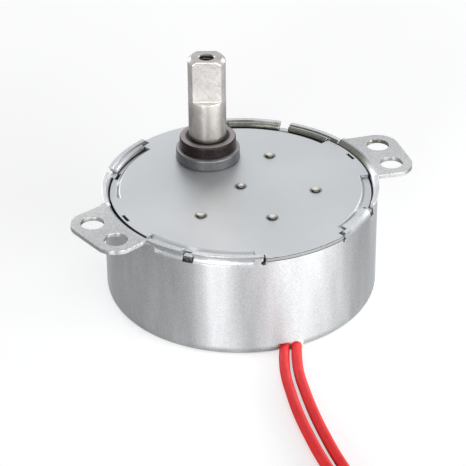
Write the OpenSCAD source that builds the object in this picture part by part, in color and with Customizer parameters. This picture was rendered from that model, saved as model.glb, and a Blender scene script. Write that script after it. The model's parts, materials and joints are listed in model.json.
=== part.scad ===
// Small geared synchronous motor in a drawn can, with an offset output shaft and two leads.
// Millimetres, Z up. The origin is the centre of the can's underside, +X runs along the
// mounting ears and +Y points at the output shaft.

/* [Can] */
// Outer diameter of the drawn can
can_d = 50; // [49:0.5:56]
// Thickness of the can's sheet and of the cover plate
sheet_t = 0.8; // [0.6:0.1:1]
// Outer radius of the rounded corner under the can's wall
corner_r = 2.1; // [1.6:0.1:2.6]
// Height of the rim's upper edge above the cover plate's upper face
rim_rise = 0.5; // [0.4:0.1:0.8]
// How far the rim's lip flares outward
rim_flare = 0.3; // [0.1:0.1:0.5]
// Depth of the groove rolled into the outside of the wall
groove_d = 0.5; // [0.2:0.05:0.6]
// How far the bead that the rolling raised stands in over the plate's recesses
bead_d = 0.75; // [0.4:0.05:0.9]
// Half angle of each of the two low stretches of the rim
low_half = 19; // [15:1:22]
// Width of each notch in the rim
notch_w = 2; // [1.4:0.2:2.6]
// Depth of each rim notch below the rim's upper edge
notch_depth = 2.3; // [2.2:0.1:2.6]
// Diameter of the relief at each end of a low stretch
relief_d = 0.9; // [0.5:0.1:1.2]

/* [Ears] */
// Diameter of the four holes in the ears
ear_hole_d = 4.3; // [3:0.1:4.6]
// Spacing across the motor of the two upper ear holes
ear_span_upper = 59; // [58:0.5:62]
// Spacing across the motor of the two lower ear holes
ear_span_lower = 56.4; // [56:0.5:60]
// Offset of the upper ear holes from the X axis
ear_y_upper = 0.5; // [0:0.1:1.5]
// Offset of the lower ear holes from the X axis
ear_y_lower = -6.5; // [-7:0.1:-6]
// Radius of metal around each ear hole
ear_r = 3.9; // [3.4:0.1:4.2]

/* [Cover] */
// Gap between the cover plate's edge and the can's wall
plate_gap = 0.3; // [0.2:0.05:0.4]
// Depth of the four edge recesses of the cover plate
recess_step = 0.8; // [0.5:0.1:0.9]
// Width of the flat recess band at the plate's edge
recess_w = 1.1; // [1:0.1:1.4]
// Radial width over which the sheet steps down to a recess
joggle_w = 0.8; // [0.6:0.1:1.2]
// How far the two edge tabs stand out over the wall's outer face
tab_out = 0.15; // [0:0.05:0.3]
// Length of each staking slot
slot_l = 2.4; // [1.6:0.1:2.8]
// Width of each staking slot
slot_w = 0.6; // [0.4:0.1:0.8]

/* [Output shaft] */
// Distance of the output shaft from the can's centre
output_y = 12.9; // [12.6:0.1:13.2]
// Diameter of the output shaft
shaft_d = 7; // [6.4:0.1:7.4]
// Length of the output shaft above the cover plate
shaft_out = 20.7; // [16:0.1:30]
// Width across the two flats at the shaft's end
flat_width = 4.7; // [4.2:0.1:5.6]
// Length of the flats
flat_l = 8.2; // [7.8:0.1:10]
// Chamfer at the shaft's end
shaft_chamfer = 0.6; // [0.1:0.1:0.8]
// Core diameter of the threaded hole in the shaft's end
tap_d = 2.5; // [2:0.1:2.8]
// Depth of the threaded hole
tap_depth = 7; // [4:0.5:9]
// Diameter of the countersink at the threaded hole's mouth
tap_mouth_d = 3.1; // [3:0.1:3.6]
// Direction that one flat faces at rest, from the X axis
flat_angle = -118; // [-180:1:180]
// Outer diameter of the output bushing
bushing_d = 10.5; // [9.5:0.1:11]
// Height of the bushing above its flange
bushing_rise = 2.3; // [1:0.1:4]
// Height of the flange that the bushing rests on the cover plate with
flange_h = 2.2; // [1.2:0.1:3]
// How far the flange stands out from the bushing
flange_out = 0.7; // [0.5:0.1:1]
// Rounding of the bushing's upper edges
bushing_round = 0.35; // [0.1:0.05:0.5]
// Radial clearance of every shaft or pin in its bearing
bearing_gap = 0.03; // [0.02:0.01:0.08]
// Diameter of the output shaft inside the bushing, under the shoulder that it hangs by
bearing_d = 6; // [5.6:0.1:6.4]
// Diameter of the output shaft where the output gear is pressed on
seat_d = 4.8; // [4:0.1:5.4]
// Diameter of the output shaft's lower journal
journal_d = 3; // [2:0.1:3.4]

/* [Gear train] */
// Module of all gears
gear_module = 0.5; // [0.47:0.01:0.51]
// Clearance between the flanks of meshed teeth, along the pitch circle
backlash = 0.1; // [0.06:0.01:0.14]
// Teeth of the rotor's pinion
rotor_teeth = 14; // [13:1:14]
// Thickness of each gear wheel
face_w = 1.3; // [1:0.1:1.5]
// Axial gap between one gear level and the next
level_gap = 0.2; // [0.15:0.05:0.3]
// Space between the top gear and the cover plate
head_room = 0.5; // [0.45:0.05:0.8]
// Thickness of the washer on the output gear
washer_t = 0.25; // [0.2:0.05:0.35]
// Diameter of the four gear pins
pin_d = 1.6; // [1.4:0.1:1.8]
// Diameter of the rotor's pin
rotor_pin_d = 1.5; // [1.2:0.1:1.7]
// Height of the pins' domed ends above the cover plate
pin_rise = 0.55; // [0.3:0.05:0.8]
// Outer diameter of the plain hubs above and below the gear wheels
hub_d = 2.8; // [2.4:0.1:3]

/* [Motor] */
// Height of the coil former
bobbin_h = 9.4; // [8.8:0.1:10.4]
// Wall thickness of the coil former
bobbin_t = 0.8; // [0.6:0.1:1]
// Gap between the can's wall and the coil former's flanges, which the lead outlet fills
bobbin_gap = 2.9; // [2.6:0.1:4]
// Thickness of the tape round the winding
tape_t = 0.25; // [0.15:0.05:0.4]
// Diameter of the rotor's magnet ring
magnet_d = 20.7; // [19:0.1:20.8]
// Inner diameter of the magnet ring
magnet_bore = 12; // [10:0.1:14]
// Height of the magnet ring
magnet_h = 7.2; // [6:0.1:7.6]
// Air gap between the magnet and the claw poles
air_gap = 0.5; // [0.4:0.05:0.7]
// Pole pairs of the rotor, which is the number of claws from each side
pole_pairs = 5; // [4:1:6]
// Height of each claw pole
claw_h = 7.6; // [6:0.1:8]
// Width of a claw at its root
claw_root_w = 5.2; // [4:0.1:5.4]
// Width of a claw at its tip
claw_tip_w = 3; // [2:0.1:3.4]
// Thickness of the upper pole plate
pole_t = 0.8; // [0.6:0.1:1]
// Thickness of the plate that carries the gear pins
gear_plate_t = 0.8; // [0.6:0.1:1.2]

/* [Leads] */
// Diameter of each lead over its insulation
lead_d = 1.9; // [1.4:0.1:1.9]
// Diameter of the tinned conductor
core_d = 0.9; // [0.6:0.1:1.2]
// Length of each stripped end
strip_l = 4; // [3:0.5:4.5]
// Thickness of the tie round the coiled leads
tie_t = 0.3; // [0.2:0.05:0.5]
// Width of the tie
tie_w = 2.5; // [1.5:0.5:4]
// Height of the window that the leads leave through
outlet_h = 2.2; // [2:0.1:2.6]
// Width of the window that the leads leave through
outlet_w = 4.6; // [4.4:0.1:5.4]

/* [Hidden] */
$fn = 64;
eps = 0.01;

// Heights of the stack, from the can's floor up
pole_z = sheet_t + bobbin_h;
gear_plate_z = pole_z + pole_t;
gear_room_z = gear_plate_z + gear_plate_t;
level_pitch = face_w + level_gap;
function level_z(i) = gear_room_z + level_gap + i * level_pitch;
output_top_z = level_z(4) + face_w;
cover_bottom = output_top_z + head_room;
cover_z = cover_bottom + sheet_t;
floor_z = cover_z - recess_step;
rim_z = cover_z + rim_rise;
flare_z = cover_z - 0.1;

// Radii of the can and the cover
can_r = can_d / 2;
wall_r = can_r - sheet_t;
plate_r = wall_r - plate_gap;
recess_r = plate_r - 0.04;
step_out = plate_r - recess_w;
step_in = step_out - joggle_w;
tongue_l = 1.1;
bushing_r = bushing_d / 2;
flange_r = bushing_r + flange_out;
shaft_r = shaft_d / 2;
shaft_top = cover_z + shaft_out;
bushing_top = cover_z + flange_h + bushing_rise;
washer_z = output_top_z + 0.05;
bushing_bottom = washer_z + washer_t;

// Angles of the rim: notches, plate recesses, ears and the forms of the lip between them
notch_angles = [41.6, 139, 220, 313];
recess_spans = [[18, 68], [112, 162], [198, 248], [292, 342]];
span_gap = 0.6;
slot_angles = concat([0, 180], notch_angles);
ear_top_angle = 13;
ear_low_angle = -21.5;
rolled_spans = [recess_spans[0] + [span_gap, -span_gap], [recess_spans[1][0] + span_gap, 140],
    [205, recess_spans[2][1] - span_gap]];
low_spans = [[90 - low_half, 90 + low_half], [270 - low_half, 270 + low_half]];
folded_spans = [[recess_spans[3][0] + span_gap, 312]];
ear_spans = [[338.5, 373], [167, 201.5]];

// Gear train: tooth counts, and directions from one pin to the next
first_wheel_teeth = 36;
first_pinion_teeth = 12;
second_wheel_teeth = 39;
second_pinion_teeth = 15;
third_wheel_teeth = 35;
third_pinion_teeth = 26;
fourth_wheel_teeth = 35;
fourth_pinion_teeth = 14;
output_teeth = 32;
pressure_angle = 25;
rotor_to_first = 207.3;
first_to_second = -31.9;
second_to_third = 21.9;
function pair_distance(a, b) = gear_module * (a + b) / 2;
function toward(p, d, a) = [p[0] + d * cos(a), p[1] + d * sin(a)];
function heading(p, q) = atan2(q[1] - p[1], q[0] - p[0]);
rotor_p = [0, 0];
output_p = [0, output_y];
first_p = toward(rotor_p, pair_distance(rotor_teeth, first_wheel_teeth), rotor_to_first);
second_p = toward(first_p, pair_distance(first_pinion_teeth, second_wheel_teeth), first_to_second);
third_p = toward(second_p, pair_distance(second_pinion_teeth, third_wheel_teeth), second_to_third);
// The fourth pin lies where its distances to the third pin and to the output shaft both fit
third_fourth = pair_distance(third_pinion_teeth, fourth_wheel_teeth);
fourth_output = pair_distance(fourth_pinion_teeth, output_teeth);
third_output = norm(output_p - third_p);
fourth_turn = acos((pow(third_fourth, 2) + pow(third_output, 2) - pow(fourth_output, 2))
    / (2 * third_fourth * third_output));
fourth_p = toward(third_p, third_fourth, heading(third_p, output_p) - fourth_turn);
gear_pin_points = [first_p, second_p, third_p, fourth_p];

// Angle of a wheel's tooth that meshes with a pinion whose tooth lies at pinion_phase
function mesh_phase(pinion_z, pinion_phase, wheel_z, line) = line + 180
    - (0.5 - (line - pinion_phase) * pinion_z / 360) * 360 / wheel_z;
first_phase = mesh_phase(rotor_teeth, 0, first_wheel_teeth, heading(rotor_p, first_p));
second_phase = mesh_phase(first_pinion_teeth, 0, second_wheel_teeth, heading(first_p, second_p));
third_phase = mesh_phase(second_pinion_teeth, 0, third_wheel_teeth, heading(second_p, third_p));
fourth_phase = mesh_phase(third_pinion_teeth, 0, fourth_wheel_teeth, heading(third_p, fourth_p));
output_phase = mesh_phase(fourth_pinion_teeth, 0, output_teeth, heading(fourth_p, output_p));

// Motor radii
magnet_r = magnet_d / 2;
claw_in = magnet_r + air_gap;
claw_out = claw_in + sheet_t;
claw_seat = 0.3;
bobbin_in = claw_out + 0.2;
bobbin_d = 2 * (wall_r - bobbin_gap);
winding_r = bobbin_d / 2 - tape_t - 0.5;
magnet_z = sheet_t + 1.1;
rotor_z = sheet_t + 0.4;
pinion_top = level_z(0) + face_w + 0.1;
hub_top = cover_bottom - 0.2;

// Leads: where they leave the can, the direction they take, and their routes on the floor
lead_r = lead_d / 2;
outlet_angle = 263;
outlet_heading = 243;
outlet_p = toward([0, 0], can_r - 0.7, outlet_angle);
outlet_back = 2.4;
lead_spacing = 2.1;
lead_left_start = toward(outlet_p, lead_spacing / 2, outlet_heading - 90);
lead_right_start = toward(outlet_p, lead_spacing / 2, outlet_heading + 90);
lead_left_route = [[-6.5, -28.2], [-8.4, -32.3], [-9.8, -36.3], [-11.2, -40.6], [-12.4, -45],
    [-13.4, -49.4], [-14.3, -53.8], [-15, -58.2], [-15.6, -62.6], [-16.2, -67], [-16.6, -71.4]];
lead_right_route = [[-4.3, -28.9], [-6.1, -33], [-7.5, -37.2], [-8.8, -41.5], [-10, -46],
    [-11, -50.4], [-11.9, -54.8], [-12.6, -59.2], [-13.2, -63.4], [-13.8, -67.4], [-14.2, -71.4]];
coil_p = [-29.6, -73.3];
coil_pitch = 4.8;
left_coil_r = 12.9;
right_coil_r = 15.3;
left_turns = 1.675;
right_turns = 1.219;
end_run = 0.6;
end_turn = -18;

// Outline helpers

// Points of an arc about a centre
function arc(c, r, a0, a1, n = 8) = [for (i = [0:n]) toward(c, r, a0 + (a1 - a0) * i / n)];

// A wedge from the origin that covers one span of angles
module wedge(span, r = 60) {
    polygon(concat([[0, 0]], arc([0, 0], r, span[0], span[1], 4)));
}

// A profile of radii and heights turned over one span of angles
module turned(span, profile) {
    rotate([0, 0, span[0]]) rotate_extrude(angle = span[1] - span[0]) polygon(profile);
}

// A ring between two radii
module ring(r_in, r_out, z, h) {
    translate([0, 0, z]) linear_extrude(h) difference() {
        circle(r_out);
        circle(r_in);
    }
}

// Rim forms

// A round bar bent over one span of the wall: what it cuts is a groove, what it adds a bead
groove_r = 0.7;
bead_r = 0.55;
module rolled(span, r, z, radius) {
    rotate([0, 0, span[0]]) rotate_extrude(angle = span[1] - span[0]) translate([r, z])
        circle(radius, $fn = 32);
}

// Upper edge of the wall where a folded or ear form takes over, and that form's lower end
form_z = floor_z - 0.5;
form_foot = form_z - 0.3;
skin_gap = 0.02;
form_in = wall_r - skin_gap;
form_out = can_r + skin_gap;
form_t = form_out - form_in;
form_root = [[form_in, form_z], [wall_r + 0.3, form_foot], [can_r - 0.3, form_foot],
    [form_out, form_z]];

// Section of the rim where it is folded in over the plate's recess
fold_r = 0.6;
fold_len = 0.5;
fold_c = [form_in - fold_r, floor_z - 0.3];
folded_section = concat(form_root,
    arc(fold_c, fold_r + form_t, 0, 90, 6), [[fold_c[0] - fold_len, fold_c[1] + fold_r + form_t],
    [fold_c[0] - fold_len, fold_c[1] + fold_r]], arc(fold_c, fold_r, 90, 0, 6));

// Section of the rim where it turns out into an ear
ear_bend = 0.5;
ear_c = [form_out + ear_bend, rim_z - sheet_t - ear_bend];
ear_section = concat(form_root,
    arc(ear_c, ear_bend, 180, 90, 4), [[can_r + 1, rim_z - sheet_t], [can_r + 1, rim_z]],
    [[ear_c[0], rim_z]], [for (i = [1:6]) [ear_c[0] - (ear_c[0] - form_in) * sin(15 * i),
        ear_c[1] + (rim_z - ear_c[1]) * cos(15 * i)]]);

// Point where the line from p touches a circle, on the side that sign names
function touch(p, c, r, sign) = toward(p, sqrt(pow(norm(c - p), 2) - r * r),
    heading(p, c) + sign * asin(r / norm(c - p)));

module ear_plan() {
    upper = [ear_span_upper / 2, ear_y_upper];
    lower = [ear_span_lower / 2, ear_y_lower];
    side = heading(lower, upper) - 90;
    root_top = toward([0, 0], can_r, ear_top_angle);
    root_low = toward([0, 0], can_r, ear_low_angle);
    difference() {
        union() {
            translate(upper) circle(ear_r);
            translate(lower) circle(ear_r);
            polygon([root_top, touch(root_top, upper, ear_r, 1), upper, toward(upper, ear_r, side),
                toward(lower, ear_r, side), lower, touch(root_low, lower, ear_r, -1), root_low]);
        }
        circle(can_r + 0.5);
        translate(upper) circle(d = ear_hole_d);
        translate(lower) circle(d = ear_hole_d);
    }
}

module ears() {
    for (flip = [0, 1]) mirror([flip, 0, 0]) translate([0, 0, rim_z - sheet_t])
        linear_extrude(sheet_t) ear_plan();
}

// Claw poles

// One claw as a curved plate that narrows to its tip, standing on the plane z = 0
module claw(h) {
    intersection() {
        ring(claw_in, claw_out, 0, h);
        rotate([90, 0, 90]) linear_extrude(claw_out + 1) polygon([[-claw_root_w / 2, 0],
            [claw_root_w / 2, 0], [claw_tip_w / 2, h], [-claw_tip_w / 2, h]]);
    }
}

module claw_window() {
    reach = claw_in - claw_h + sheet_t;
    root = claw_in + claw_seat;
    translate([0, 0, -1]) linear_extrude(sheet_t + 2) polygon([[reach, -claw_tip_w / 2],
        [root, -claw_root_w / 2 - 0.2], [root, claw_root_w / 2 + 0.2], [reach, claw_tip_w / 2]]);
}

module every_pole(offset_angle) {
    for (i = [0:pole_pairs - 1]) rotate([0, 0, offset_angle + i * 360 / pole_pairs]) children();
}

// Can

module can_shell() {
    centre = [can_r - corner_r, corner_r];
    rotate_extrude() polygon(concat([[0, 0]], arc(centre, corner_r, -90, 0),
        [[can_r, flare_z], [can_r + rim_flare, rim_z], [wall_r + rim_flare, rim_z], [wall_r, flare_z]],
        arc(centre, corner_r - sheet_t, 0, -90), [[0, sheet_t]]));
}

// Space above a height over one span of the wall
module above(span, z) {
    turned(span, [[wall_r - 1, z], [can_r + 1, z], [can_r + 1, rim_z + 1], [wall_r - 1, rim_z + 1]]);
}

module outlet_frame() {
    translate(outlet_p) rotate([0, 0, outlet_heading]) children();
}

module housing() {
    color("silver") difference() {
        union() {
            difference() {
                can_shell();
                every_pole(0) claw_window();
                for (s = low_spans) above(s, cover_bottom);
                for (s = concat(ear_spans, folded_spans)) above(s, form_z);
            }
            every_pole(0) translate([0, 0, eps]) claw(claw_h);
            for (s = rolled_spans)
                rolled(s, wall_r - bead_d + bead_r, floor_z + bead_r, bead_r);
            for (s = folded_spans) turned(s, folded_section);
            for (s = ear_spans) turned(s, ear_section);
            ears();
        }
        for (s = rolled_spans)
            rolled(s, can_r - groove_d + groove_r, floor_z - 0.1, groove_r);
        for (a = notch_angles) rotate([0, 0, a])
            translate([wall_r - 2, -notch_w / 2, rim_z - notch_depth]) cube([5, notch_w, 3]);
        for (a = [90, 270], s = [-1, 1]) rotate([0, 0, a + s * low_half])
            translate([wall_r - 1, 0, cover_bottom - relief_d / 3]) rotate([0, 90, 0])
                cylinder(h = 3, d = relief_d, $fn = 24);
        outlet_frame() translate([-outlet_back, -outlet_w / 2, -1])
            cube([8, outlet_w, outlet_h + 1]);
        translate([0, 0, -1]) cylinder(h = 3, d = rotor_pin_d);
    }
}

// Cover plate

// Section of the sheet where it steps down into an edge recess
recess_section = concat([[step_in - 0.6, cover_bottom], [step_in - 0.6, cover_z]],
    [for (i = [0:6]) [step_in + joggle_w * i / 6, cover_z - recess_step * (1 - cos(30 * i)) / 2]],
    [[recess_r, floor_z], [recess_r, floor_z - sheet_t]],
    [for (i = [6:-1:0]) [step_in - 0.3 + joggle_w * i / 6,
        cover_bottom - recess_step * (1 - cos(30 * i)) / 2]]);

module plateau_plan() {
    difference() {
        circle(plate_r);
        for (s = recess_spans) difference() {
            wedge(s);
            circle(step_in);
        }
    }
    for (a = [90, 270]) intersection() {
        circle(can_r + tab_out);
        wedge([a - low_half + 1, a + low_half - 1]);
    }
}

// Height of the plate's upper face at a staking slot: low in a recess, full at the ears
function slot_top(a) = a == 0 || a == 180 ? cover_z : floor_z;

module cover_plate() {
    color("lightgray") difference() {
        union() {
            translate([0, 0, cover_bottom]) linear_extrude(sheet_t) plateau_plan();
            for (s = recess_spans) turned([s[0] - 1.5, s[1] + 1.5], recess_section);
            for (a = notch_angles) rotate([0, 0, a])
                translate([plate_r - 0.3, -notch_w / 2 + 0.15, floor_z - sheet_t + 0.05])
                    cube([tongue_l, notch_w - 0.3, sheet_t + 0.1]);
        }
        for (a = slot_angles) rotate([0, 0, a])
            translate([plate_r - 0.35 - slot_w, -slot_l / 2, slot_top(a) - sheet_t - 1])
                cube([slot_w, slot_l, sheet_t + 3]);
        translate(concat(output_p, cover_bottom - 1)) cylinder(h = 3, r = bushing_r);
        translate([0, 0, cover_bottom - 1]) cylinder(h = 3, d = rotor_pin_d);
        for (p = gear_pin_points) translate(concat(p, cover_bottom - 1)) cylinder(h = 3, d = pin_d);
    }
}

module output_bushing() {
    bore = bearing_d / 2 + bearing_gap;
    flange_top = cover_z + flange_h;
    edge = bushing_round;
    color("dimgray") translate(output_p) rotate_extrude() polygon(concat(
        [[bore, bushing_bottom], [bushing_r, bushing_bottom], [bushing_r, cover_z],
            [flange_r, cover_z]],
        arc([flange_r - edge, flange_top - edge], edge, 0, 90, 3), [[bushing_r, flange_top]],
        arc([bushing_r - edge, bushing_top - edge], edge, 0, 90, 3),
        [[bore + 0.3, bushing_top], [bore, bushing_top - 0.3]]));
}

// Pins

// A pin that ends in a low dome above the cover plate
module domed_pin(z, d) {
    top = cover_z + pin_rise;
    dome = d / 4;
    rotate_extrude() polygon(concat([[0, z], [d / 2, z], [d / 2, top - dome]],
        [for (i = [1:5]) [d / 2 * cos(18 * i), top - dome + dome * sin(18 * i)]]));
}

module rotor_pin() {
    color("gainsboro") domed_pin(0.05, rotor_pin_d);
}

module first_gear_pin() {
    color("gainsboro") translate(first_p) domed_pin(gear_plate_z, pin_d);
}

module second_gear_pin() {
    color("gainsboro") translate(second_p) domed_pin(gear_plate_z, pin_d);
}

module third_gear_pin() {
    color("gainsboro") translate(third_p) domed_pin(gear_plate_z, pin_d);
}

module fourth_gear_pin() {
    color("gainsboro") translate(fourth_p) domed_pin(gear_plate_z, pin_d);
}

// Stator

module gear_plate() {
    color("tan") difference() {
        translate([0, 0, gear_plate_z]) cylinder(h = gear_plate_t, r = wall_r - 0.1);
        translate([0, 0, gear_plate_z - 1]) cylinder(h = gear_plate_t + 2,
            r = gear_module * (rotor_teeth / 2 + 1) + 0.6);
        for (p = gear_pin_points) translate(concat(p, gear_plate_z - 1))
            cylinder(h = gear_plate_t + 2, d = pin_d);
        translate(concat(output_p, gear_plate_z - 1)) cylinder(h = gear_plate_t + 2,
            r = journal_d / 2 + bearing_gap);
    }
}

module upper_pole_plate() {
    color("slategray") {
        ring(claw_in + claw_seat, wall_r - 0.1, pole_z, pole_t);
        every_pole(180 / pole_pairs) translate([0, 0, gear_plate_z - eps]) mirror([0, 0, 1])
            claw(claw_h);
    }
}

module bobbin() {
    color("ivory") {
        ring(bobbin_in, bobbin_in + bobbin_t, sheet_t, bobbin_h);
        ring(bobbin_in, bobbin_d / 2, sheet_t, bobbin_t);
        ring(bobbin_in, bobbin_d / 2, sheet_t + bobbin_h - bobbin_t, bobbin_t);
    }
}

module winding() {
    color("peru") ring(bobbin_in + bobbin_t, winding_r, sheet_t + bobbin_t, bobbin_h - 2 * bobbin_t);
}

module coil_tape() {
    color("gold") ring(winding_r, winding_r + tape_t, sheet_t + bobbin_t, bobbin_h - 2 * bobbin_t);
}

// Moulded piece that fills the window in the can's corner and holds the ends of the leads
module lead_outlet() {
    inner_r = bobbin_d / 2 + 0.2;
    top = outlet_h + 2.4;
    color("beige") difference() {
        union() {
            outlet_frame() translate([-outlet_back, -outlet_w / 2, 0.1])
                cube([outlet_back, outlet_w, outlet_h - 0.1]);
            translate([0, 0, outlet_h]) linear_extrude(top - outlet_h) difference() {
                intersection() {
                    circle(wall_r - 0.05);
                    wedge([outlet_angle - 7, outlet_angle + 7]);
                }
                circle(inner_r);
            }
        }
        translate([0, 0, -1]) cylinder(h = top + 2, r = inner_r);
        for (s = [-1, 1]) rotate([0, 0, outlet_angle + 3.5 * s])
            translate([(inner_r + wall_r) / 2, 0, top - 1.5]) cylinder(h = 2, d = core_d);
    }
}

module terminal_pins() {
    pin_r = (bobbin_d / 2 + 0.2 + wall_r) / 2;
    base = outlet_h + 0.9;
    color("silver") for (s = [-1, 1]) rotate([0, 0, outlet_angle + 3.5 * s])
        translate([pin_r, 0, base]) cylinder(h = 4, d = core_d);
}

// Gears

// Involute angle in degrees of a flank at radius r on base radius rb
function flank_angle(rb, r) = let (a = acos(min(1, rb / r))) tan(a) * 180 / PI - a;

// Half of one tooth's angle at radius r
function half_tooth(teeth, r) = let (rp = gear_module * teeth / 2, rb = rp * cos(pressure_angle))
    (PI * gear_module - backlash) / (4 * rp) * 180 / PI
        + flank_angle(rb, rp) - flank_angle(rb, max(r, rb));

module gear_plan(teeth, phase) {
    rp = gear_module * teeth / 2;
    radii = [rp - 1.25 * gear_module, rp, rp + gear_module];
    polygon([for (i = [0:teeth - 1], s = [-1, 1], j = [0:2])
        let (r = radii[s < 0 ? j : 2 - j], a = phase + 360 * i / teeth + s * half_tooth(teeth, r))
            [r * cos(a), r * sin(a)]]);
}

module gear_disc(teeth, phase, z, h) {
    translate([0, 0, z]) linear_extrude(h) gear_plan(teeth, phase);
}

// A wheel with a smaller pinion on top of it and a hub through both, loose on its pin
module compound_gear(p, level, wheel_teeth, wheel_phase, pinion_teeth, pin) {
    wheel_z = level_z(level);
    pinion_z = wheel_z + face_w;
    hub_z = gear_room_z + 0.1;
    translate(p) difference() {
        union() {
            gear_disc(wheel_teeth, wheel_phase, wheel_z, face_w);
            gear_disc(pinion_teeth, 0, pinion_z - eps, level_pitch + eps);
            translate([0, 0, hub_z]) cylinder(h = hub_top - hub_z, d = hub_d);
        }
        translate([0, 0, hub_z - 1]) cylinder(h = hub_top - hub_z + 2, r = pin / 2 + bearing_gap);
    }
}

module first_gear() {
    color("white") compound_gear(first_p, 0, first_wheel_teeth, first_phase,
        first_pinion_teeth, pin_d);
}

module second_gear() {
    color("whitesmoke") compound_gear(second_p, 1, second_wheel_teeth, second_phase,
        second_pinion_teeth, pin_d);
}

module third_gear() {
    color("white") compound_gear(third_p, 2, third_wheel_teeth, third_phase,
        third_pinion_teeth, pin_d);
}

module fourth_gear() {
    color("goldenrod") compound_gear(fourth_p, 3, fourth_wheel_teeth, fourth_phase,
        fourth_pinion_teeth, pin_d);
}

// Rotor

module rotor_washer() {
    color("white") ring(rotor_pin_d / 2 + bearing_gap, 2, sheet_t, 0.35);
}

module rotor_magnet() {
    color("darkslategray") ring(magnet_bore / 2, magnet_r, magnet_z, magnet_h);
}

module rotor_hub() {
    flange_z = magnet_z + magnet_h;
    color("white") difference() {
        union() {
            translate([0, 0, rotor_z]) cylinder(h = magnet_z - rotor_z, d = hub_d);
            translate([0, 0, magnet_z]) cylinder(h = magnet_h, d = magnet_bore);
            translate([0, 0, flange_z]) cylinder(h = level_z(0) - flange_z, d = 2 * hub_d);
            gear_disc(rotor_teeth, 0, level_z(0) - eps, pinion_top - level_z(0) + eps);
            translate([0, 0, pinion_top - eps]) cylinder(h = hub_top - pinion_top + eps, d = hub_d);
        }
        translate([0, 0, -1]) cylinder(h = cover_z, r = rotor_pin_d / 2 + bearing_gap);
    }
}

// Output

module output_gear() {
    color("goldenrod") translate(output_p) difference() {
        gear_disc(output_teeth, output_phase, level_z(4), face_w);
        translate([0, 0, level_z(4) - 1]) cylinder(h = face_w + 2, d = seat_d);
    }
}

module output_washer() {
    color("gray") translate(output_p) ring(bearing_d / 2 + bearing_gap, bushing_r, washer_z, washer_t);
}

module output_shaft() {
    flat_z = shaft_top - flat_l;
    journal_z = gear_plate_z + 0.1;
    shoulder_z = bushing_top + 0.05;
    color("gainsboro") translate(output_p) difference() {
        rotate_extrude() polygon([[0, journal_z], [journal_d / 2, journal_z],
            [journal_d / 2, level_z(4)], [seat_d / 2, level_z(4)], [seat_d / 2, output_top_z],
            [bearing_d / 2, output_top_z], [bearing_d / 2, shoulder_z], [shaft_r, shoulder_z],
            [shaft_r, shaft_top - shaft_chamfer],
            [shaft_r - shaft_chamfer, shaft_top], [0, shaft_top]]);
        for (s = [0, 180]) rotate([0, 0, flat_angle + s])
            translate([flat_width / 2, -shaft_r, flat_z]) cube([shaft_r, shaft_d, flat_l + 1]);
        translate([0, 0, shaft_top - tap_depth]) cylinder(h = tap_depth + 1, d = tap_d);
        translate([0, 0, shaft_top - (tap_mouth_d - tap_d) / 2])
            cylinder(h = 1, d1 = tap_d, d2 = tap_d + 2);
    }
}

// Leads

// Unit direction of a route at point i, straight at both ends
function route_dir(r, i, first, last) = let (n = len(r) - 1,
    d = i == 0 ? first : i == n ? last : r[i + 1] - r[i - 1]) d / norm(d);

// Ring of points round point p, square to a level direction d
function tube_ring(p, d, radius, sides) = [for (k = [0:sides - 1]) let (a = 360 * k / sides)
    [p[0] - d[1] * radius * cos(a), p[1] + d[0] * radius * cos(a), lead_r + radius * sin(a)]];

// A tube that lies on the floor along a route of level points
module tube(route, first, last, radius, sides) {
    n = len(route);
    points = [for (i = [0:n - 1])
        each tube_ring(route[i], route_dir(route, i, first, last), radius, sides)];
    skin = [for (i = [0:n - 2], k = [0:sides - 1]) let (a = i * sides + k,
        b = i * sides + (k + 1) % sides) each [[a, b, a + sides], [b, b + sides, a + sides]]];
    start = [for (k = [1:sides - 2]) [0, k + 1, k]];
    end = [for (k = [1:sides - 2]) let (o = (n - 1) * sides) [o, o + k, o + k + 1]];
    polyhedron(points, concat(skin, start, end));
}

// Spiral of level points that winds clockwise inward from the east side of the coil
function coil_points(r0, turns) = let (n = ceil(24 * turns)) [for (i = [0:n])
    let (t = turns * i / n) toward(coil_p, r0 - coil_pitch * t, -360 * t)];

// Short straight run that turns inward from the last point of a route
function run_on(route) = let (n = len(route) - 1)
    concat(route, [toward(route[n], end_run, heading(route[n - 1], route[n]) + end_turn)]);
function run_in(p, length, d) = p - length * d / norm(d);

function coil_route(r0, turns) = let (c = coil_points(r0, turns))
    run_on(concat([run_in(c[0], lead_d, [0, -1])], c));

// Least gap between parts of a route that aren't neighbours
function least_gap(r) = min([for (i = [0:len(r) - 1], j = [0:len(r) - 1])
    if (j > i + 8) norm(r[i] - r[j]) - lead_d]);
function route_length(r) = total([for (i = [1:len(r) - 1]) norm(r[i] - r[i - 1])]);
function total(v, i = 0) = i >= len(v) ? 0 : v[i] + total(v, i + 1);

outlet_dir = toward([0, 0], 1, outlet_heading);
left_coil = coil_route(left_coil_r, left_turns);
right_coil = coil_route(right_coil_r, right_turns);
left_free = concat([lead_left_start], lead_left_route, [left_coil[0]]);
right_free = concat([lead_right_start], lead_right_route, [right_coil[0]]);
echo(left_length = route_length(left_free) + route_length(left_coil) + strip_l,
    right_length = route_length(right_free) + route_length(right_coil) + strip_l);
echo(left_coil_gap = least_gap(left_coil), right_coil_gap = least_gap(right_coil));

module stripped_end(route) {
    n = len(route) - 1;
    d = route[n] - route[n - 1];
    translate(concat(route[n], lead_r)) rotate([0, 90, atan2(d[1], d[0])])
        cylinder(h = strip_l, d = core_d);
}

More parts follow.
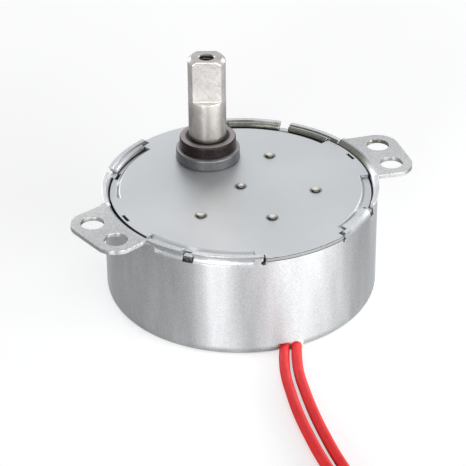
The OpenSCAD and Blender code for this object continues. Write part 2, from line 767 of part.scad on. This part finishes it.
// Band round the strands on the coil's west side, drawn tight so that it bites into them
module lead_tie() {
    outer = right_coil_r - coil_pitch / 2 + lead_r + tie_t;
    inner = left_coil_r - coil_pitch * 1.5 - lead_r - tie_t;
    height = lead_d + tie_t;
    color("white") translate(concat(coil_p, 0)) rotate([90, 0, 0]) linear_extrude(tie_w, center = true)
        difference() {
            translate([-outer, 0]) square([outer - inner, height]);
            translate([-outer + tie_t, tie_t / 2]) square([outer - inner - 2 * tie_t, lead_d - tie_t / 2]);
        }
}

module lead_left() {
    color("red") tube(left_free, outlet_dir, [0, -1], lead_r, 8);
}

module lead_right() {
    color("red") tube(right_free, outlet_dir, [0, -1], lead_r, 8);
}

module coil_tube(route) {
    n = len(route) - 1;
    tube(route, [0, -1], route[n] - route[n - 1], lead_r, 6);
}

module lead_left_coil() {
    color("red") coil_tube(left_coil);
}

module lead_right_coil() {
    color("red") coil_tube(right_coil);
}

module lead_left_tip() {
    color("silver") stripped_end(left_coil);
}

module lead_right_tip() {
    color("silver") stripped_end(right_coil);
}

housing();
cover_plate();
output_bushing();
gear_plate();
upper_pole_plate();
bobbin();
winding();
coil_tape();
lead_outlet();
terminal_pins();
rotor_pin();
first_gear_pin();
second_gear_pin();
third_gear_pin();
fourth_gear_pin();
rotor_washer();
rotor_magnet();
rotor_hub();
first_gear();
second_gear();
third_gear();
fourth_gear();
output_gear();
output_washer();
output_shaft();
lead_left();
lead_right();
lead_left_coil();
lead_right_coil();
lead_left_tip();
lead_right_tip();
lead_tie();
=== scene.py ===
import json
import math

import bpy
from mathutils import Matrix, Vector


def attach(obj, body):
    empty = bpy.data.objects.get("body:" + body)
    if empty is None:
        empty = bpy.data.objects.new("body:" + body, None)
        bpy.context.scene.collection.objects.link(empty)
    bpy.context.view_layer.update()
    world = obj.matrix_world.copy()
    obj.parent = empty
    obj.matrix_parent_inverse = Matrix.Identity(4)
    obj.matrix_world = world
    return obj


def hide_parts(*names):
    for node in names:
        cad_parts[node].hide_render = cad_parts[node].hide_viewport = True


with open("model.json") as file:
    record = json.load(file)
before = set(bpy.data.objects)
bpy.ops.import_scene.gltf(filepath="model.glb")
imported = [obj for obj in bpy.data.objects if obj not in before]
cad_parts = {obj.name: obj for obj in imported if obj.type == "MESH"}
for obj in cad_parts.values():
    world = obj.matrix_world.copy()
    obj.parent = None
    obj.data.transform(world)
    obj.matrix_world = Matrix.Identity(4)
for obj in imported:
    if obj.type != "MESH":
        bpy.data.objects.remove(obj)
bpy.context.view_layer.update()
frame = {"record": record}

MM = 0.001
IMAGE_W = 466

# Camera, fitted to the photograph: a long lens that looks down at the can's front left
CAMERA_TARGET = Vector((0, 0, 10 * MM))
CAMERA_DISTANCE = 400 * MM
CAMERA_AZIMUTH = math.radians(-27.945)
CAMERA_ELEVATION = math.radians(31.522)
CAMERA_ROLL = math.radians(-0.434)
FOCAL_PX = 2161.74
OFFSET_RIGHT_PX = 7.97
OFFSET_DOWN_PX = 2.94
SENSOR_W = 36.0

# Leads, as the part's source lays them: routes on the floor, then a flat double spiral
LEAD_D = 1.9 * MM
OUTLET_ANGLE = math.radians(263)
OUTLET_HEADING = math.radians(243)
OUTLET_R = 24.3
LEAD_SPACING = 2.1
LEFT_ROUTE = [(-6.5, -28.2), (-8.4, -32.3), (-9.8, -36.3), (-11.2, -40.6), (-12.4, -45),
              (-13.4, -49.4), (-14.3, -53.8), (-15, -58.2), (-15.6, -62.6), (-16.2, -67),
              (-16.6, -71.4)]
RIGHT_ROUTE = [(-4.3, -28.9), (-6.1, -33), (-7.5, -37.2), (-8.8, -41.5), (-10, -46),
               (-11, -50.4), (-11.9, -54.8), (-12.6, -59.2), (-13.2, -63.4), (-13.8, -67.4),
               (-14.2, -71.4)]
COIL_CENTRE = (-29.6, -73.3)
COIL_PITCH = 4.8
LEFT_COIL_R = 12.9
RIGHT_COIL_R = 15.3
LEFT_TURNS = 1.675
RIGHT_TURNS = 1.219
END_RUN = 0.6
END_TURN = math.radians(-18)
STEPS_PER_TURN = 24
LEAD_SMOOTHNESS = 6

# Upright axes, in millimetres
CAN_POINT = (0, 0)
PIN_POINTS = [(0, 0), (-11.108, -5.733), (-0.283, -12.471), (11.315, -7.808), (10.096, 7.393)]
SHAFT_POINT = (0, 12.9)
# The point below centres the painted dark reflection inside the can's rim.
DARK_REFLECTION_POINT = (15.4, 18.4)

# Where a finish, painted shade and painted reflection change. Each pair says where it starts and
# where it is complete: R is the distance from an upright axis, Z a height, and the others say what
# they are.
EAR_R = (25.3 * MM, 25.7 * MM)
RIM_Z = (18.6 * MM, 19.6 * MM)
RIM_INSIDE = (0, -6 * MM)  # place times normal, below 0 where a face looks inward
# Painted dark reflection inside the rim: its reach from its centre.
DARK_REFLECTION_R = (29 * MM, 21 * MM)
# Painted contact shadow round each pin on the cover.
PIN_SHADOW_R = (1.35 * MM, 0.95 * MM)
# The next four place the painted shade lines along the cover's edge and on its tongues.
COVER_EDGE_R = (23.6 * MM, 24.0 * MM)
COVER_EDGE_LINE = (0.2 * MM, 0.3 * MM)  # distance from the edge's middle height
TONGUE_R = (24.5 * MM, 24.7 * MM)
TONGUE_Z = (20.02 * MM, 19.92 * MM)
FLANGE_R = (5.45 * MM, 5.6 * MM)
# Painted shade ring round the shaft on the bushing's top.
BUSHING_RING_SHADE_R = (4.4 * MM, 3.9 * MM)
# Shaft: darker towards the bottom, then painted shade on the round part, at the foot and in the
# bore.
SHAFT_DARKER_Z = (33.4 * MM, 24.5 * MM)
SHAFT_ROUND_Z = (33.6 * MM, 31.4 * MM)
SHAFT_FOOT_Z = (26.0 * MM, 25.6 * MM)
SHAFT_BORE_R = (1.5 * MM, 1.3 * MM)
UPRIGHT_FACE = (0.5, 0.2)  # the normal's share along Z

# Other places and shares of a finish, of painted shade and of a painted reflection
# Middle height of the cover's edge, where its painted shade line runs.
COVER_EDGE_Z = 20.2 * MM
# Share of the painted dark reflection elsewhere on the rim.
DARK_REFLECTION_ELSEWHERE = 0.15

# Painted shade in crevices: how far it reaches, the open share below which it is dark and above
# which there is none, and the painted shade's colour. Soft edges: their radius.
SHEET_CORNER_SHADE = (0.6 * MM, 0.25, 0.75, (0.22, 0.22, 0.21))
BUSHING_CORNER_SHADE = (0.7 * MM, 0.3, 0.8, (0.25, 0.24, 0.24))
CORNER_SAMPLES = 8
CAN_EDGE = 0.15 * MM
COVER_EDGE = 0.12 * MM
BUSHING_EDGE = 0.15 * MM
SHAFT_EDGE = 0.3 * MM
EDGE_SAMPLES = 4

# Scratches on the shaft: they cross at two slants, seen square on to its flats
FLAT_TURN = math.radians(118)
SCRATCH_SLANTS = (0.75, -0.6)
SCRATCH_SCALE = (500, 5600, 360)

# Ridge of the thread in the shaft's bore
THREAD_R = 1.25 * MM
THREAD_PITCH = 0.5 * MM
THREAD_DEPTH = 0.2 * MM
THREAD_FOOT = 35.2 * MM
THREAD_TOP = 40.9 * MM
THREAD_SIDES = 48
THREAD_HALF_WIDTH = 0.4

# Floor and world. The floor's glow is for the camera alone, and the object's shadow stays on it
FLOOR_SIZE = 4.0
FLOOR_DROP = 0.05 * MM
FLOOR_TONE = 0.6
FLOOR_GLOW = 0.57
WORLD_TINT = (0.95, 0.97, 1.0)
WORLD_LIGHT = 0.28
WORLD_SEEN = 1.0

# Lamps: name, azimuth from +X and elevation in degrees, width and height in metres, watts
LAMP_DISTANCE = 0.9
LAMPS = [
    ("front_strip", 224, 9, (0.24, 0.26), 4.6),
    ("right_panel", 299, 9, (0.85, 0.26), 9.0),
    ("front_fill", 264, 9, (0.3, 0.26), 2.6),
    ("left_edge", 95, 12, (0.3, 0.5), 1.8),
    ("right_edge", 16, 12, (0.3, 0.5), 1.7),
    ("top", 60, 75, (0.8, 0.8), 0.6),
]

# Sockets of a colour Mix node
MIX_A, MIX_B, MIX_RESULT = 6, 7, 2


def link_object(name, data):
    obj = bpy.data.objects.new(name, data)
    bpy.context.scene.collection.objects.link(obj)
    return obj


def make_camera():
    a, e = CAMERA_AZIMUTH, CAMERA_ELEVATION
    back = Vector((math.sin(a) * math.cos(e), -math.cos(a) * math.cos(e), math.sin(e)))
    right = Vector((math.cos(a), math.sin(a), 0))
    up = back.cross(right)
    turn = Matrix((right, up, back)).transposed().to_4x4()
    data = bpy.data.cameras.new("camera")
    data.sensor_width = SENSOR_W
    data.lens = FOCAL_PX / IMAGE_W * SENSOR_W
    data.shift_x = -OFFSET_RIGHT_PX / IMAGE_W
    data.shift_y = OFFSET_DOWN_PX / IMAGE_W
    camera = link_object("camera", data)
    place = Matrix.Translation(CAMERA_TARGET + CAMERA_DISTANCE * back)
    camera.matrix_world = place @ turn @ Matrix.Rotation(CAMERA_ROLL, 4, "Z")
    bpy.context.scene.camera = camera


# Leads


def lead_points(route, side, coil_r, turns):
    """The centre line: out of the outlet, along the route, then into its arm of the spiral."""
    outlet = (OUTLET_R * math.cos(OUTLET_ANGLE), OUTLET_R * math.sin(OUTLET_ANGLE))
    across = OUTLET_HEADING + side * math.pi / 2
    start = (outlet[0] + LEAD_SPACING / 2 * math.cos(across),
             outlet[1] + LEAD_SPACING / 2 * math.sin(across))
    steps = math.ceil(STEPS_PER_TURN * turns)
    coil = []
    for i in range(steps + 1):
        t = turns * i / steps
        r = coil_r - COIL_PITCH * t
        coil.append((COIL_CENTRE[0] + r * math.cos(-2 * math.pi * t),
                     COIL_CENTRE[1] + r * math.sin(-2 * math.pi * t)))
    last = Vector(coil[-1])
    step = last - Vector(coil[-2])
    onward = math.atan2(step.y, step.x) + END_TURN
    run = END_RUN * Vector((math.cos(onward), math.sin(onward)))
    run_in = (coil[0][0], coil[0][1] + LEAD_D / MM)
    points = [start] + route + [run_in] + coil + [tuple(last + run)]
    return [Vector((x * MM, y * MM, LEAD_D / 2)) for x, y in points]


def make_lead(name, points, nodes):
    """A round lead. Its radius is in the points, because a curve's box grows by theirs."""
    data = bpy.data.curves.new(name, "CURVE")
    data.dimensions = "3D"
    data.bevel_depth = 1.0
    data.bevel_resolution = LEAD_SMOOTHNESS
    data.resolution_u = LEAD_SMOOTHNESS
    data.use_fill_caps = True
    spline = data.splines.new("BEZIER")
    spline.bezier_points.add(len(points) - 1)
    for point, place in zip(spline.bezier_points, points):
        point.co = place
        point.handle_left_type = "AUTO"
        point.handle_right_type = "AUTO"
        point.radius = LEAD_D / 2
    lead = link_object(name, data)
    lead.visible_glossy = False
    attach(lead, "motor")
    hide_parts(*nodes)
    return lead


def make_leads():
    left = make_lead("left_lead", lead_points(LEFT_ROUTE, -1, LEFT_COIL_R, LEFT_TURNS),
                     ["lead_left", "lead_left_coil"])
    right = make_lead("right_lead", lead_points(RIGHT_ROUTE, 1, RIGHT_COIL_R, RIGHT_TURNS),
                      ["lead_right", "lead_right_coil"])
    return [left, right]


# Thread in the shaft's end


def make_thread():
    """One ridge that winds up the bore, with its flanks running out into the bore's wall."""
    turns = (THREAD_TOP - THREAD_FOOT) / THREAD_PITCH
    steps = int(turns * THREAD_SIDES)
    x, y = SHAFT_POINT[0] * MM, SHAFT_POINT[1] * MM
    verts, faces = [], []
    for i in range(steps + 1):
        a = 2 * math.pi * i / THREAD_SIDES
        z = THREAD_FOOT + THREAD_PITCH * i / THREAD_SIDES
        fade = min(1, i / THREAD_SIDES, (steps - i) / THREAD_SIDES)
        for r, dz in ((THREAD_R, -THREAD_HALF_WIDTH), (THREAD_R - THREAD_DEPTH * fade, 0),
                      (THREAD_R, THREAD_HALF_WIDTH)):
            verts.append((x + r * math.cos(a), y + r * math.sin(a), z + dz * THREAD_PITCH))
    for i in range(steps):
        for k in (0, 1):
            a = 3 * i + k
            faces.append((a, a + 1, a + 4, a + 3))
    data = bpy.data.meshes.new("shaft_thread")
    data.from_pydata(verts, [], faces)
    thread = link_object("shaft_thread", data)
    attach(thread, "output")
    return thread


# Materials


class Nodes:
    """A material's nodes, with short calls for the ones used here."""

    def __init__(self, name):
        self.material = bpy.data.materials.new(name)
        self.material.use_nodes = True
        self.tree = self.material.node_tree
        self.shader = self.tree.nodes["Principled BSDF"]
        self.place = self.add("ShaderNodeTexCoord").outputs["Object"]

    def add(self, kind):
        return self.tree.nodes.new(kind)

    def link(self, a, b):
        self.tree.links.new(a, b)

    def stretched(self, scale):
        mapping = self.add("ShaderNodeMapping")
        mapping.inputs["Scale"].default_value = scale
        self.link(self.place, mapping.inputs["Vector"])
        return mapping.outputs["Vector"]

    def noise(self, scale, detail=2.0, vector=None):
        node = self.add("ShaderNodeTexNoise")
        node.inputs["Scale"].default_value = scale
        node.inputs["Detail"].default_value = detail
        self.link(vector or self.place, node.inputs["Vector"])
        return node.outputs["Fac"]

    def ramp(self, value, stops):
        node = self.add("ShaderNodeValToRGB")
        elements = node.color_ramp.elements
        elements[0].position, elements[0].color = stops[0][0], tuple(stops[0][1]) + (1,)
        elements[1].position, elements[1].color = stops[-1][0], tuple(stops[-1][1]) + (1,)
        for place, colour in stops[1:-1]:
            elements.new(place).color = tuple(colour) + (1,)
        self.link(value, node.inputs["Fac"])
        return node.outputs["Color"]

    def math(self, operation, a, b=None):
        node = self.add("ShaderNodeMath")
        node.operation = operation
        for socket, value in zip(node.inputs, (a, b)):
            if value is None:
                continue
            if isinstance(value, (int, float)):
                socket.default_value = value
            else:
                self.link(value, socket)
        return node.outputs["Value"]

    def span(self, value, low, high):
        node = self.add("ShaderNodeMapRange")
        node.inputs["To Min"].default_value = low
        node.inputs["To Max"].default_value = high
        self.link(value, node.inputs["Value"])
        return node.outputs["Result"]

    def mix(self, factor, a, b, blend="MIX"):
        node = self.add("ShaderNodeMix")
        node.data_type = "RGBA"
        node.blend_type = blend
        for socket, value in ((node.inputs["Factor"], factor), (node.inputs[MIX_A], a),
                              (node.inputs[MIX_B], b)):
            if isinstance(value, (int, float)):
                socket.default_value = value
            elif isinstance(value, tuple):
                socket.default_value = value + (1,)
            else:
                self.link(value, socket)
        return node.outputs[MIX_RESULT]

    def tint(self, colour, by):
        return self.mix(1.0, colour, by, "MULTIPLY")

    def average(self, a, b):
        return self.math("MULTIPLY", self.math("ADD", a, b), 0.5)

    def bump(self, height, distance, under=None):
        node = self.add("ShaderNodeBump")
        node.inputs["Strength"].default_value = 1.0
        node.inputs["Distance"].default_value = distance
        self.link(height, node.inputs["Height"])
        if under is not None:
            self.link(under, node.inputs["Normal"])
        return node.outputs["Normal"]

    def axis(self, letter, vector=None):
        node = self.add("ShaderNodeSeparateXYZ")
        self.link(vector or self.place, node.inputs["Vector"])
        return node.outputs[letter]

    def dot(self, a, b):
        node = self.add("ShaderNodeVectorMath")
        node.operation = "DOT_PRODUCT"
        self.link(a, node.inputs[0])
        self.link(b, node.inputs[1])
        return node.outputs["Value"]

    def distance(self, point):
        """Distance from an upright axis through a point given in millimetres."""
        flat = self.stretched((1, 1, 0))
        node = self.add("ShaderNodeVectorMath")
        node.operation = "DISTANCE"
        self.link(flat, node.inputs[0])
        node.inputs[1].default_value = (point[0] * MM, point[1] * MM, 0)
        return node.outputs["Value"]

    def step(self, value, low, high):
        """0 at low, 1 at high, smooth between. It also runs downwards, where high is the lower."""
        node = self.add("ShaderNodeMapRange")
        node.interpolation_type = "SMOOTHSTEP"
        node.inputs["From Min"].default_value = low
        node.inputs["From Max"].default_value = high
        self.link(value, node.inputs["Value"])
        return node.outputs["Result"]

    def normal(self):
        return self.add("ShaderNodeNewGeometry").outputs["Normal"]

    def corners(self, colour, reach, low, high, shade_colour):
        """The colour, with painted shade in crevices, where nearby faces hide most of the sky."""
        node = self.add("ShaderNodeAmbientOcclusion")
        node.samples = CORNER_SAMPLES
        node.inputs["Distance"].default_value = reach
        return self.mix(self.step(node.outputs["AO"], low, high), self.tint(colour, shade_colour), colour)

    def worn_edge(self, radius):
        """Normals that turn softly over an edge, so that it catches the light."""
        node = self.add("ShaderNodeBevel")
        node.samples = EDGE_SAMPLES
        node.inputs["Radius"].default_value = radius
        return node.outputs["Normal"]

    def set(self, **values):
        for name, value in values.items():
            socket = self.shader.inputs[name.replace("_", " ")]
            if isinstance(value, (int, float)):
                socket.default_value = value
            elif isinstance(value, tuple):
                socket.default_value = value + (1,)
            else:
                self.link(value, socket)


def sheet_metal(name, dark, light, rough):
    """Plated sheet: fine grain in the bump, soft blotches in the colour and the gloss."""
    n = Nodes(name)
    n.set(Metallic=1.0)
    blotches = n.noise(90, 3)
    n.set(Base_Color=n.ramp(blotches, [(0.35, dark), (0.65, light)]))
    fine = n.noise(2600, 3)
    n.set(Roughness=n.span(n.average(blotches, fine), rough - 0.08, rough + 0.08))
    n.set(Normal=n.bump(fine, 0.004 * MM))
    return n.material


def can_metal():
    """Drawn sheet: highlights stretch up the wall, grainy ears, a painted dark olive reflection
    inside the rim.
    """
    n = Nodes("can_metal")
    n.set(Metallic=1.0, Anisotropic=0.75, Anisotropic_Rotation=0.25)
    tangent = n.add("ShaderNodeTangent")
    tangent.direction_type = "RADIAL"
    tangent.axis = "Z"
    n.set(Tangent=tangent.outputs["Tangent"])
    drawn = n.noise(1.0, 3, n.stretched((260, 260, 40)))
    fine = n.noise(3400, 2)
    speckle = n.ramp(n.noise(4200, 2), [(0.4, (0.86, 0.86, 0.86)), (0.58, (1.02, 1.02, 1.02))])
    wall = n.tint(n.ramp(drawn, [(0.3, (0.58, 0.59, 0.6)), (0.7, (0.7, 0.71, 0.72))]), speckle)
    grainy = n.ramp(n.noise(3200, 3), [(0.35, (0.46, 0.46, 0.455)), (0.65, (0.6, 0.6, 0.59))])
    ear = n.step(n.distance(CAN_POINT), *EAR_R)
    # Painted dark reflection: the rim's inner face is darkened to a dark olive, fully round the
    # back right and faintly elsewhere.
    inside = n.step(n.dot(n.normal(), n.stretched((1, 1, 0))), *RIM_INSIDE)
    high = n.step(n.axis("Z"), *RIM_Z)
    shaded = n.math("MAXIMUM", n.step(n.distance(DARK_REFLECTION_POINT), *DARK_REFLECTION_R), DARK_REFLECTION_ELSEWHERE)
    darkened = n.math("MULTIPLY", n.math("MULTIPLY", inside, high), shaded)
    rim = n.ramp(fine, [(0.3, (0.12, 0.12, 0.1)), (0.7, (0.22, 0.215, 0.185))])
    before_corner_shade = n.mix(darkened, n.mix(ear, wall, grainy), rim)
    # Painted shade in crevices.
    n.set(Base_Color=n.corners(before_corner_shade, *SHEET_CORNER_SHADE))
    n.set(Roughness=n.span(n.average(drawn, fine), 0.28, 0.5))
    n.set(Normal=n.bump(fine, 0.014 * MM, under=n.worn_edge(CAN_EDGE)))
    return n.material


def cover_metal():
    """Cover: fine satin, a painted contact shadow ring at each pin, painted shade in dark lines
    along its cut edge.
    """
    n = Nodes("cover_metal")
    n.set(Metallic=1.0)
    cloud = n.noise(60, 3)
    grain = n.noise(2400, 3)
    colour = n.ramp(cloud, [(0.35, (0.55, 0.56, 0.565)), (0.65, (0.585, 0.595, 0.6))])
    # Painted contact shadow: a dark ring round each pin.
    for point in PIN_POINTS:
        pin_shadow = n.step(n.distance(point), *PIN_SHADOW_R)
        colour = n.mix(n.math("MULTIPLY", pin_shadow, 0.8), colour, (0.1, 0.1, 0.1))
    # Painted shade: dark lines on the upright faces along the cover's edge and on the lower sides
    # of its tongues, as the shade in the gap to the can wall.
    upright = n.step(n.math("ABSOLUTE", n.axis("Z", n.normal())), *UPRIGHT_FACE)
    from_middle = n.math("ABSOLUTE", n.math("SUBTRACT", n.axis("Z"), COVER_EDGE_Z))
    lines = n.math("MULTIPLY", n.step(from_middle, *COVER_EDGE_LINE),
                   n.step(n.distance(CAN_POINT), *COVER_EDGE_R))
    tongue = n.math("MULTIPLY", n.step(n.axis("Z"), *TONGUE_Z),
                    n.step(n.distance(CAN_POINT), *TONGUE_R))
    gap_shade = n.math("MULTIPLY", upright, n.math("MAXIMUM", lines, tongue))
    colour = n.mix(gap_shade, colour,
                   n.ramp(grain, [(0.4, (0.07, 0.07, 0.068)), (0.6, (0.24, 0.24, 0.23))]))
    # Painted shade in crevices.
    n.set(Base_Color=n.corners(colour, *SHEET_CORNER_SHADE))
    n.set(Roughness=n.span(n.average(cloud, grain), 0.34, 0.5))
    n.set(Normal=n.bump(grain, 0.006 * MM, under=n.worn_edge(COVER_EDGE)))
    return n.material


def bushing_metal():
    """Sintered bushing: a brown black barrel, paler on top, a painted shade ring round the shaft,
    in a greyer flange.
    """
    n = Nodes("bushing_metal")
    n.set(Metallic=1.0)
    pores = n.noise(4200, 2)
    barrel = n.ramp(pores, [(0.35, (0.014, 0.011, 0.011)), (0.65, (0.034, 0.027, 0.027))])
    flange = n.ramp(pores, [(0.35, (0.09, 0.09, 0.094)), (0.65, (0.13, 0.13, 0.134))])
    sides = n.mix(n.step(n.distance(SHAFT_POINT), *FLANGE_R), barrel, flange)
    # Painted shade: a dark ring round the shaft on the bushing's top.
    shaft_ring_shade = n.step(n.distance(SHAFT_POINT), *BUSHING_RING_SHADE_R)
    top = n.mix(shaft_ring_shade, (0.36, 0.325, 0.315), (0.045, 0.04, 0.04))
    level = n.step(n.axis("Z", n.normal()), 0.8, 1.0)
    before_corner_shade = n.mix(n.math("MULTIPLY", level, 0.9), sides, top)
    # Painted shade in crevices.
    n.set(Base_Color=n.corners(before_corner_shade, *BUSHING_CORNER_SHADE))
    n.set(Roughness=n.span(pores, 0.36, 0.56))
    n.set(Normal=n.bump(pores, 0.004 * MM, under=n.worn_edge(BUSHING_EDGE)))
    return n.material


def shaft_metal():
    """Nickel-plated shaft: crossing scratches, darker towards the bottom, painted shade on its
    round part, foot, bore and faces that look up.
    """
    n = Nodes("shaft_metal")
    n.set(Metallic=1.0)
    marks = []
    for slant in SCRATCH_SLANTS:
        turn = n.add("ShaderNodeMapping")
        turn.inputs["Rotation"].default_value = (0, 0, FLAT_TURN)
        n.link(n.place, turn.inputs["Vector"])
        tilt = n.add("ShaderNodeMapping")
        tilt.inputs["Rotation"].default_value = (slant, 0, 0)
        n.link(turn.outputs["Vector"], tilt.inputs["Vector"])
        draw = n.add("ShaderNodeMapping")
        draw.inputs["Scale"].default_value = SCRATCH_SCALE
        n.link(tilt.outputs["Vector"], draw.inputs["Vector"])
        marks.append(n.noise(1.0, 4, draw.outputs["Vector"]))
    scratches = n.average(*marks)
    grain = n.noise(2200, 4)
    shade = n.ramp(n.noise(420, 4), [(0.3, (0.76, 0.725, 0.69)), (0.7, (0.92, 0.88, 0.845))])
    # Painted shade: the round part below the flats is darker.
    shade = n.mix(n.step(n.axis("Z"), *SHAFT_ROUND_Z), shade, n.tint(shade, (0.74, 0.735, 0.73)))
    wear_and_shade = n.ramp(scratches, [(0.38, (0.8, 0.79, 0.78)), (0.5, (1.0, 1.0, 1.0))])
    # Painted shade at the foot where the shaft goes into the bushing, on faces that look up, and
    # in the bore.
    wear_and_shade = n.mix(n.step(n.axis("Z"), *SHAFT_FOOT_Z), wear_and_shade, (0.14, 0.12, 0.11))
    wear_and_shade = n.mix(n.step(n.axis("Z", n.normal()), 0.3, 0.7), wear_and_shade, (0.56, 0.55, 0.54))
    wear_and_shade = n.mix(n.step(n.distance(SHAFT_POINT), *SHAFT_BORE_R), wear_and_shade, (0.16, 0.15, 0.14))
    # Darker towards the bottom.
    darkened = n.math("MULTIPLY", n.step(n.axis("Z"), *SHAFT_DARKER_Z), 0.75)
    n.set(Base_Color=n.mix(darkened, n.tint(shade, wear_and_shade), (0.22, 0.2, 0.185)))
    n.set(Roughness=n.span(grain, 0.24, 0.46))
    n.set(Normal=n.bump(scratches, 0.014 * MM,
                        under=n.bump(grain, 0.026 * MM, under=n.worn_edge(SHAFT_EDGE))))
    return n.material


def pin_metal():
    """Pins: painted light and shade, a bright end face and darker sides where the dome runs down
    into the plate.
    """
    n = Nodes("pin_metal")
    n.set(Metallic=1.0)
    grain = n.noise(2600, 3)
    # Painted light and shade: faces that look up are bright, the dome's sides dark.
    up = n.math("ADD", n.axis("Z", n.normal()), n.math("MULTIPLY", grain, 0.08))
    n.set(Base_Color=n.ramp(up, [(0.45, (0.05, 0.045, 0.04)), (0.88, (0.22, 0.2, 0.18)),
                                 (0.99, (0.7, 0.68, 0.63))]))
    n.set(Roughness=n.span(grain, 0.24, 0.4))
    n.set(Normal=n.bump(grain, 0.008 * MM))
    return n.material


def plain_plastic(name, colour, rough=0.45):
    """Moulded plastic, film or ferrite: a faint speckle in colour, gloss and bump."""
    n = Nodes(name)
    speckle = n.noise(1500, 2)
    shade = tuple(0.9 * c for c in colour)
    n.set(Base_Color=n.ramp(speckle, [(0.3, shade), (0.7, colour)]))
    n.set(Roughness=n.span(speckle, rough - 0.05, rough + 0.05))
    n.set(Normal=n.bump(speckle, 0.01 * MM))
    return n.material


def lead_plastic():
    """Red insulation: soft waves along it under a fine grain."""
    n = Nodes("lead_plastic")
    waves = n.noise(260, 3)
    fine = n.noise(3000, 2)
    n.set(Base_Color=n.ramp(waves, [(0.3, (0.82, 0.024, 0.026)), (0.7, (0.95, 0.036, 0.038))]))
    n.set(Roughness=n.span(fine, 0.36, 0.5), Specular_IOR_Level=0.22)
    n.set(Normal=n.bump(fine, 0.006 * MM, under=n.bump(waves, 0.05 * MM)))
    return n.material


def wound_copper():
    """Enamelled wire: thin turns that lie level round the bobbin."""
    n = Nodes("wound_copper")
    n.set(Metallic=1.0, Roughness=0.35)
    turns = n.noise(1.0, 1, n.stretched((60, 60, 9000)))
    n.set(Base_Color=n.ramp(turns, [(0.3, (0.45, 0.17, 0.08)), (0.7, (0.8, 0.42, 0.24))]))
    n.set(Normal=n.bump(turns, 0.05 * MM))
    return n.material


MATERIALS = {
    "can": can_metal,
    "cover": cover_metal,
    "bushing": bushing_metal,
    "inner_plate": lambda: sheet_metal("inner_plate_metal", (0.5, 0.49, 0.46),
                                       (0.6, 0.58, 0.55), 0.4),
    "pole_steel": lambda: sheet_metal("pole_steel_metal", (0.45, 0.45, 0.45),
                                      (0.56, 0.56, 0.56), 0.45),
    "bobbin": lambda: plain_plastic("bobbin_plastic", (0.82, 0.8, 0.7)),
    "copper_wire": wound_copper,
    "tape": lambda: plain_plastic("tape_film", (0.85, 0.62, 0.12), 0.3),
    "outlet": lambda: plain_plastic("outlet_plastic", (0.8, 0.78, 0.7)),
    "tinned": lambda: sheet_metal("tinned_wire", (0.6, 0.6, 0.6), (0.75, 0.75, 0.74), 0.3),
    "pin_steel": pin_metal,
    "gear_plastic": lambda: plain_plastic("gear_plastic", (0.86, 0.86, 0.82), 0.4),
    "gear_brass": lambda: sheet_metal("gear_brass", (0.66, 0.48, 0.2), (0.78, 0.6, 0.3), 0.3),
    "ferrite": lambda: plain_plastic("ferrite", (0.035, 0.035, 0.038), 0.6),
    "shaft": shaft_metal,
    "lead_red": lead_plastic,
    "tie": lambda: plain_plastic("tie_paper", (0.85, 0.85, 0.82), 0.6),
}


def dress(obj, material):
    obj.data.materials.clear()
    obj.data.materials.append(material)


def dress_nodes(leads, thread):
    made = {slot: build() for slot, build in MATERIALS.items()}
    for part in frame["record"]["subparts"]:
        node = bpy.data.objects.get(part["node"])
        for slot in node.material_slots:
            slot.material = made[part["material_slot"]]
    for lead in leads:
        dress(lead, made["lead_red"])
    dress(thread, made["shaft"])


# Stage and light


def make_floor():
    data = bpy.data.meshes.new("floor")
    h = FLOOR_SIZE / 2
    data.from_pydata([(-h, -h, 0), (h, -h, 0), (h, h, 0), (-h, h, 0)], [], [(0, 1, 2, 3)])
    floor = link_object("floor", data)
    floor.location.z = -FLOOR_DROP
    material = bpy.data.materials.new("floor_white")
    material.use_nodes = True
    tree = material.node_tree
    shader = tree.nodes["Principled BSDF"]
    shader.inputs["Base Color"].default_value = (FLOOR_TONE, FLOOR_TONE, FLOOR_TONE, 1)
    shader.inputs["Roughness"].default_value = 0.9
    shader.inputs["Specular IOR Level"].default_value = 0.1
    shader.inputs["Emission Color"].default_value = (1, 1, 1, 1)
    path = tree.nodes.new("ShaderNodeLightPath")
    glow = tree.nodes.new("ShaderNodeMath")
    glow.operation = "MULTIPLY"
    glow.inputs[1].default_value = FLOOR_GLOW
    tree.links.new(path.outputs["Is Camera Ray"], glow.inputs[0])
    tree.links.new(glow.outputs[0], shader.inputs["Emission Strength"])
    data.materials.append(material)


def make_world():
    """A pale surround: full to the camera and in reflections, low as light."""
    world = bpy.data.worlds.new("studio")
    bpy.context.scene.world = world
    world.use_nodes = True
    tree = world.node_tree
    background = tree.nodes["Background"]
    background.inputs["Color"].default_value = WORLD_TINT + (1,)
    path = tree.nodes.new("ShaderNodeLightPath")
    seen = tree.nodes.new("ShaderNodeMath")
    seen.operation = "MAXIMUM"
    tree.links.new(path.outputs["Is Camera Ray"], seen.inputs[0])
    tree.links.new(path.outputs["Is Glossy Ray"], seen.inputs[1])
    strength = tree.nodes.new("ShaderNodeMapRange")
    strength.inputs["To Min"].default_value = WORLD_LIGHT
    strength.inputs["To Max"].default_value = WORLD_SEEN
    tree.links.new(seen.outputs[0], strength.inputs["Value"])
    tree.links.new(strength.outputs["Result"], background.inputs["Strength"])


def make_light(name, azimuth, elevation, size, power):
    """A soft rectangular light that faces the can."""
    data = bpy.data.lights.new(name, "AREA")
    data.shape = "RECTANGLE"
    data.size, data.size_y = size
    data.energy = power
    light = link_object(name, data)
    a, e = math.radians(azimuth), math.radians(elevation)
    away = Vector((math.cos(a) * math.cos(e), math.sin(a) * math.cos(e), math.sin(e)))
    light.location = CAMERA_TARGET + LAMP_DISTANCE * away
    light.rotation_euler = away.to_track_quat("Z", "Y").to_euler()


make_camera()
leads = make_leads()
dress_nodes(leads, make_thread())
make_floor()
make_world()
for lamp in LAMPS:
    make_light(*lamp)

bpy.context.scene.view_settings.view_transform = "Standard"


bpy.context.view_layer.update()
